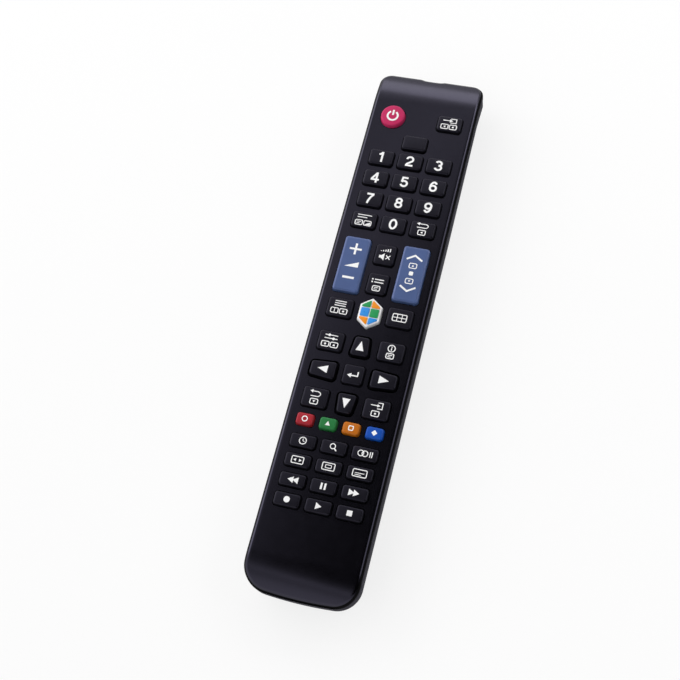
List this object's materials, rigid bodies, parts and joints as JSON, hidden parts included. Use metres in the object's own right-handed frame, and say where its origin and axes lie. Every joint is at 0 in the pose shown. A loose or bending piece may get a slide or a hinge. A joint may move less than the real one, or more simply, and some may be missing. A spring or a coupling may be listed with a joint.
{
  "type": "universal remote control",
  "caption": "Slim handheld remote control with a flat key face curved down at both ends, a sprung rubber key for each function, two tall rockers and a sliding battery door.",
  "frame": {"origin": "under the middle of the case, on the flat underside that it lies on", "axes": "+Y towards the emitter end, +Z out of the key face, +X to the right of someone who holds it with the emitter away from them"},
  "size_m": [0.0448, 0.228, 0.0206],
  "materials": {
    "face_plastic": "satin dark charcoal, fine moulded texture",
    "shell_plastic": "satin charcoal, fine moulded texture",
    "key_rubber": "soft matt black",
    "mat_rubber": "matt black",
    "power_red": "soft satin crimson",
    "rocker_blue": "soft satin slate blue",
    "hub_white": "soft satin white",
    "red_rubber": "soft satin red",
    "green_rubber": "soft satin green",
    "orange_rubber": "soft satin orange",
    "blue_rubber": "soft satin blue",
    "board": "green solder resist over glass laminate",
    "chip": "moulded black",
    "capacitor": "sleeved can",
    "emitter": "clear dark violet resin",
    "cell": "plain sleeved can",
    "contact_steel": "nickel plated spring steel",
    "screw_steel": "zinc plated"
  },
  "bodies": {
    "case": {"top_cover": "face_plastic", "bottom_cover": "shell_plastic", "keypad_mat": "mat_rubber", "circuit_board": "board", "controller_chip": "chip", "capacitor": "capacitor", "ir_led": "emitter", "cell_left": "cell", "cell_right": "cell", "contact_springs": "contact_steel", "contact_plates": "contact_steel", "case_screws": "screw_steel"},
    "battery_door": {"battery_door": "shell_plastic"},
    "key_source": {"key_source": "key_rubber"},
    "key_blank": {"key_blank": "key_rubber"},
    "key_0": {"key_0": "key_rubber"},
    "key_1": {"key_1": "key_rubber"},
    "key_2": {"key_2": "key_rubber"},
    "key_3": {"key_3": "key_rubber"},
    "key_4": {"key_4": "key_rubber"},
    "key_5": {"key_5": "key_rubber"},
    "key_6": {"key_6": "key_rubber"},
    "key_7": {"key_7": "key_rubber"},
    "key_8": {"key_8": "key_rubber"},
    "key_9": {"key_9": "key_rubber"},
    "key_text": {"key_text": "key_rubber"},
    "key_previous": {"key_previous": "key_rubber"},
    "key_mute": {"key_mute": "key_rubber"},
    "key_list": {"key_list": "key_rubber"},
    "key_menu": {"key_menu": "key_rubber"},
    "key_guide": {"key_guide": "key_rubber"},
    "key_tools": {"key_tools": "key_rubber"},
    "key_up": {"key_up": "key_rubber"},
    "key_info": {"key_info": "key_rubber"},
    "key_left": {"key_left": "key_rubber"},
    "key_ok": {"key_ok": "key_rubber"},
    "key_right": {"key_right": "key_rubber"},
    "key_return": {"key_return": "key_rubber"},
    "key_down": {"key_down": "key_rubber"},
    "key_exit": {"key_exit": "key_rubber"},
    "key_timer": {"key_timer": "key_rubber"},
    "key_search": {"key_search": "key_rubber"},
    "key_dual": {"key_dual": "key_rubber"},
    "key_zoom": {"key_zoom": "key_rubber"},
    "key_size": {"key_size": "key_rubber"},
    "key_subtitle": {"key_subtitle": "key_rubber"},
    "key_rewind": {"key_rewind": "key_rubber"},
    "key_pause": {"key_pause": "key_rubber"},
    "key_forward": {"key_forward": "key_rubber"},
    "key_record": {"key_record": "key_rubber"},
    "key_play": {"key_play": "key_rubber"},
    "key_stop": {"key_stop": "key_rubber"},
    "key_power": {"key_power": "power_red"},
    "key_hub": {"key_hub": "hub_white"},
    "key_red": {"key_red": "red_rubber"},
    "key_green": {"key_green": "green_rubber"},
    "key_orange": {"key_orange": "orange_rubber"},
    "key_blue": {"key_blue": "blue_rubber"},
    "rocker_volume": {"rocker_volume": "rocker_blue"},
    "rocker_programme": {"rocker_programme": "rocker_blue"}
  },
  "joints": [
    {"name": "battery_door_slide", "type": "slide", "parent": "case", "child": "battery_door", "axis": [0, -1, 0], "range_m": [0, 0.056]},
    {"name": "key_source_press", "type": "slide", "parent": "case", "child": "key_source", "axis": [0, 0, -1], "range_m": [0, 0.0008], "stiffness_N_per_m": 900, "springref_m": -0.0006},
    {"name": "key_blank_press", "type": "slide", "parent": "case", "child": "key_blank", "axis": [0, 0, -1], "range_m": [0, 0.0008], "stiffness_N_per_m": 900, "springref_m": -0.0006},
    {"name": "key_0_press", "type": "slide", "parent": "case", "child": "key_0", "axis": [0, 0, -1], "range_m": [0, 0.0008], "stiffness_N_per_m": 900, "springref_m": -0.0006},
    {"name": "key_1_press", "type": "slide", "parent": "case", "child": "key_1", "axis": [0, 0, -1], "range_m": [0, 0.0008], "stiffness_N_per_m": 900, "springref_m": -0.0006},
    {"name": "key_2_press", "type": "slide", "parent": "case", "child": "key_2", "axis": [0, 0, -1], "range_m": [0, 0.0008], "stiffness_N_per_m": 900, "springref_m": -0.0006},
    {"name": "key_3_press", "type": "slide", "parent": "case", "child": "key_3", "axis": [0, 0, -1], "range_m": [0, 0.0008], "stiffness_N_per_m": 900, "springref_m": -0.0006},
    {"name": "key_4_press", "type": "slide", "parent": "case", "child": "key_4", "axis": [0, 0, -1], "range_m": [0, 0.0008], "stiffness_N_per_m": 900, "springref_m": -0.0006},
    {"name": "key_5_press", "type": "slide", "parent": "case", "child": "key_5", "axis": [0, 0, -1], "range_m": [0, 0.0008], "stiffness_N_per_m": 900, "springref_m": -0.0006},
    {"name": "key_6_press", "type": "slide", "parent": "case", "child": "key_6", "axis": [0, 0, -1], "range_m": [0, 0.0008], "stiffness_N_per_m": 900, "springref_m": -0.0006},
    {"name": "key_7_press", "type": "slide", "parent": "case", "child": "key_7", "axis": [0, 0, -1], "range_m": [0, 0.0008], "stiffness_N_per_m": 900, "springref_m": -0.0006},
    {"name": "key_8_press", "type": "slide", "parent": "case", "child": "key_8", "axis": [0, 0, -1], "range_m": [0, 0.0008], "stiffness_N_per_m": 900, "springref_m": -0.0006},
    {"name": "key_9_press", "type": "slide", "parent": "case", "child": "key_9", "axis": [0, 0, -1], "range_m": [0, 0.0008], "stiffness_N_per_m": 900, "springref_m": -0.0006},
    {"name": "key_text_press", "type": "slide", "parent": "case", "child": "key_text", "axis": [0, 0, -1], "range_m": [0, 0.0008], "stiffness_N_per_m": 900, "springref_m": -0.0006},
    {"name": "key_previous_press", "type": "slide", "parent": "case", "child": "key_previous", "axis": [0, 0, -1], "range_m": [0, 0.0008], "stiffness_N_per_m": 900, "springref_m": -0.0006},
    {"name": "key_mute_press", "type": "slide", "parent": "case", "child": "key_mute", "axis": [0, 0, -1], "range_m": [0, 0.0008], "stiffness_N_per_m": 900, "springref_m": -0.0006},
    {"name": "key_list_press", "type": "slide", "parent": "case", "child": "key_list", "axis": [0, 0, -1], "range_m": [0, 0.0008], "stiffness_N_per_m": 900, "springref_m": -0.0006},
    {"name": "key_menu_press", "type": "slide", "parent": "case", "child": "key_menu", "axis": [0, 0, -1], "range_m": [0, 0.0008], "stiffness_N_per_m": 900, "springref_m": -0.0006},
    {"name": "key_guide_press", "type": "slide", "parent": "case", "child": "key_guide", "axis": [0, 0, -1], "range_m": [0, 0.0008], "stiffness_N_per_m": 900, "springref_m": -0.0006},
    {"name": "key_tools_press", "type": "slide", "parent": "case", "child": "key_tools", "axis": [0, 0, -1], "range_m": [0, 0.0008], "stiffness_N_per_m": 900, "springref_m": -0.0006},
    {"name": "key_up_press", "type": "slide", "parent": "case", "child": "key_up", "axis": [0, 0, -1], "range_m": [0, 0.0008], "stiffness_N_per_m": 900, "springref_m": -0.0006},
    {"name": "key_info_press", "type": "slide", "parent": "case", "child": "key_info", "axis": [0, 0, -1], "range_m": [0, 0.0008], "stiffness_N_per_m": 900, "springref_m": -0.0006},
    {"name": "key_left_press", "type": "slide", "parent": "case", "child": "key_left", "axis": [0, 0, -1], "range_m": [0, 0.0008], "stiffness_N_per_m": 900, "springref_m": -0.0006},
    {"name": "key_ok_press", "type": "slide", "parent": "case", "child": "key_ok", "axis": [0, 0, -1], "range_m": [0, 0.0008], "stiffness_N_per_m": 900, "springref_m": -0.0006},
    {"name": "key_right_press", "type": "slide", "parent": "case", "child": "key_right", "axis": [0, 0, -1], "range_m": [0, 0.0008], "stiffness_N_per_m": 900, "springref_m": -0.0006},
    {"name": "key_return_press", "type": "slide", "parent": "case", "child": "key_return", "axis": [0, 0, -1], "range_m": [0, 0.0008], "stiffness_N_per_m": 900, "springref_m": -0.0006},
    {"name": "key_down_press", "type": "slide", "parent": "case", "child": "key_down", "axis": [0, 0, -1], "range_m": [0, 0.0008], "stiffness_N_per_m": 900, "springref_m": -0.0006},
    {"name": "key_exit_press", "type": "slide", "parent": "case", "child": "key_exit", "axis": [0, 0, -1], "range_m": [0, 0.0008], "stiffness_N_per_m": 900, "springref_m": -0.0006},
    {"name": "key_timer_press", "type": "slide", "parent": "case", "child": "key_timer", "axis": [0, 0, -1], "range_m": [0, 0.0008], "stiffness_N_per_m": 900, "springref_m": -0.0006},
    {"name": "key_search_press", "type": "slide", "parent": "case", "child": "key_search", "axis": [0, 0, -1], "range_m": [0, 0.0008], "stiffness_N_per_m": 900, "springref_m": -0.0006},
    {"name": "key_dual_press", "type": "slide", "parent": "case", "child": "key_dual", "axis": [0, 0, -1], "range_m": [0, 0.0008], "stiffness_N_per_m": 900, "springref_m": -0.0006},
    {"name": "key_zoom_press", "type": "slide", "parent": "case", "child": "key_zoom", "axis": [0, 0, -1], "range_m": [0, 0.0008], "stiffness_N_per_m": 900, "springref_m": -0.0006},
    {"name": "key_size_press", "type": "slide", "parent": "case", "child": "key_size", "axis": [0, 0, -1], "range_m": [0, 0.0008], "stiffness_N_per_m": 900, "springref_m": -0.0006},
    {"name": "key_subtitle_press", "type": "slide", "parent": "case", "child": "key_subtitle", "axis": [0, 0, -1], "range_m": [0, 0.0008], "stiffness_N_per_m": 900, "springref_m": -0.0006},
    {"name": "key_rewind_press", "type": "slide", "parent": "case", "child": "key_rewind", "axis": [0, 0, -1], "range_m": [0, 0.0008], "stiffness_N_per_m": 900, "springref_m": -0.0006},
    {"name": "key_pause_press", "type": "slide", "parent": "case", "child": "key_pause", "axis": [0, 0, -1], "range_m": [0, 0.0008], "stiffness_N_per_m": 900, "springref_m": -0.0006},
    {"name": "key_forward_press", "type": "slide", "parent": "case", "child": "key_forward", "axis": [0, 0, -1], "range_m": [0, 0.0008], "stiffness_N_per_m": 900, "springref_m": -0.0006},
    {"name": "key_record_press", "type": "slide", "parent": "case", "child": "key_record", "axis": [0, 0, -1], "range_m": [0, 0.0008], "stiffness_N_per_m": 900, "springref_m": -0.0006},
    {"name": "key_play_press", "type": "slide", "parent": "case", "child": "key_play", "axis": [0, 0, -1], "range_m": [0, 0.0008], "stiffness_N_per_m": 900, "springref_m": -0.0006},
    {"name": "key_stop_press", "type": "slide", "parent": "case", "child": "key_stop", "axis": [0, 0, -1], "range_m": [0, 0.0008], "stiffness_N_per_m": 900, "springref_m": -0.0006},
    {"name": "key_power_press", "type": "slide", "parent": "case", "child": "key_power", "axis": [0, 0, -1], "range_m": [0, 0.0008], "stiffness_N_per_m": 900, "springref_m": -0.0006},
    {"name": "key_hub_press", "type": "slide", "parent": "case", "child": "key_hub", "axis": [0, 0, -1], "range_m": [0, 0.0008], "stiffness_N_per_m": 900, "springref_m": -0.0006},
    {"name": "key_red_press", "type": "slide", "parent": "case", "child": "key_red", "axis": [0, 0, -1], "range_m": [0, 0.0008], "stiffness_N_per_m": 900, "springref_m": -0.0006},
    {"name": "key_green_press", "type": "slide", "parent": "case", "child": "key_green", "axis": [0, 0, -1], "range_m": [0, 0.0008], "stiffness_N_per_m": 900, "springref_m": -0.0006},
    {"name": "key_orange_press", "type": "slide", "parent": "case", "child": "key_orange", "axis": [0, 0, -1], "range_m": [0, 0.0008], "stiffness_N_per_m": 900, "springref_m": -0.0006},
    {"name": "key_blue_press", "type": "slide", "parent": "case", "child": "key_blue", "axis": [0, 0, -1], "range_m": [0, 0.0008], "stiffness_N_per_m": 900, "springref_m": -0.0006},
    {"name": "rocker_volume_tip", "type": "hinge", "parent": "case", "child": "rocker_volume", "pos_m": [-0.0122, 0.0204, 0.0166], "axis": [1, 0, 0], "range_deg": [-2.5, 2.5], "stiffness_Nm_per_rad": 0.3},
    {"name": "rocker_programme_tip", "type": "hinge", "parent": "case", "child": "rocker_programme", "pos_m": [0.0122, 0.0204, 0.0166], "axis": [1, 0, 0], "range_deg": [-2.5, 2.5], "stiffness_Nm_per_rad": 0.3}
  ]
}
